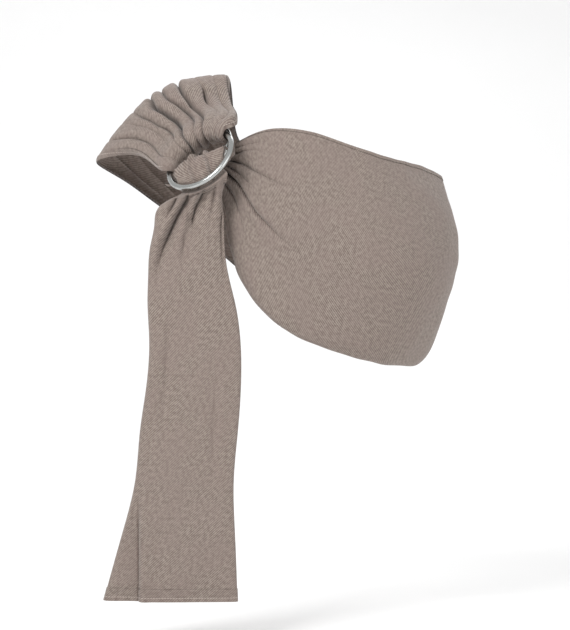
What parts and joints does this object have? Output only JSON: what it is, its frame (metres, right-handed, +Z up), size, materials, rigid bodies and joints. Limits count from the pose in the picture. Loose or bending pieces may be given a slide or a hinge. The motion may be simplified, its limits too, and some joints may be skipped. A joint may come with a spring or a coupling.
{
  "type": "ring sling baby carrier",
  "caption": "Cloth ring sling: a long woven sheet sewn to a pair of metal rings and threaded back through them to make a shoulder loop, a pouch and a hanging tail.",
  "frame": {"origin": "top of the wearer's right shoulder, where the underside of the gathered shoulder cloth rests", "axes": "+X towards the wearer's left side, -Y towards the wearer's front, +Z up; the tail hangs along -Z"},
  "size_m": [0.4339, 0.2723, 0.6136],
  "materials": {
    "cloth": "matt twill weave",
    "cloth_inner": "matt twill weave, inner face",
    "hem": "folded and topstitched cloth",
    "thread": "sewing thread",
    "ring_metal": "satin polished",
    "label": "smooth blank satin tape"
  },
  "bodies": {
    "sling": {"shoulder_section": "cloth", "back_section": "cloth_inner", "side_section": "cloth_inner", "pouch_section": "cloth", "upper_rail_hem": "hem", "lower_rail_hem": "hem", "casing_flap": "cloth_inner", "ring_casing": "cloth", "casing_stitching": "thread", "ring_back": "ring_metal", "ring_wrap": "cloth"},
    "front_ring": {"ring_front": "ring_metal"},
    "tail_upper": {"tail_upper_section": "cloth", "tail_upper_hems": "hem"},
    "tail_middle": {"tail_middle_section": "cloth", "tail_middle_hems": "hem"},
    "tail_lower": {"tail_lower_section": "cloth", "tail_lower_hems": "hem", "tail_end_hem": "hem", "care_label": "label"}
  },
  "joints": [
    {"name": "front_ring_tilt", "type": "hinge", "parent": "sling", "child": "front_ring", "pos_m": [0.0125, -0.0872, -0.0548], "axis": [-0.7547, 0, -0.6561], "range_deg": [0, 25]},
    {"name": "tail_pull", "type": "slide", "parent": "sling", "child": "tail_upper", "axis": [0, 0, -1], "range_m": [0, 0.08]},
    {"name": "tail_swing", "type": "hinge", "parent": "tail_upper", "child": "tail_middle", "pos_m": [0.022, -0.134, -0.2525], "axis": [-1, 0, 0], "range_deg": [-15, 50]},
    {"name": "tail_bend", "type": "hinge", "parent": "tail_middle", "child": "tail_lower", "pos_m": [0.012, -0.134, -0.4125], "axis": [-1, 0, 0], "range_deg": [-20, 60]}
  ]
}
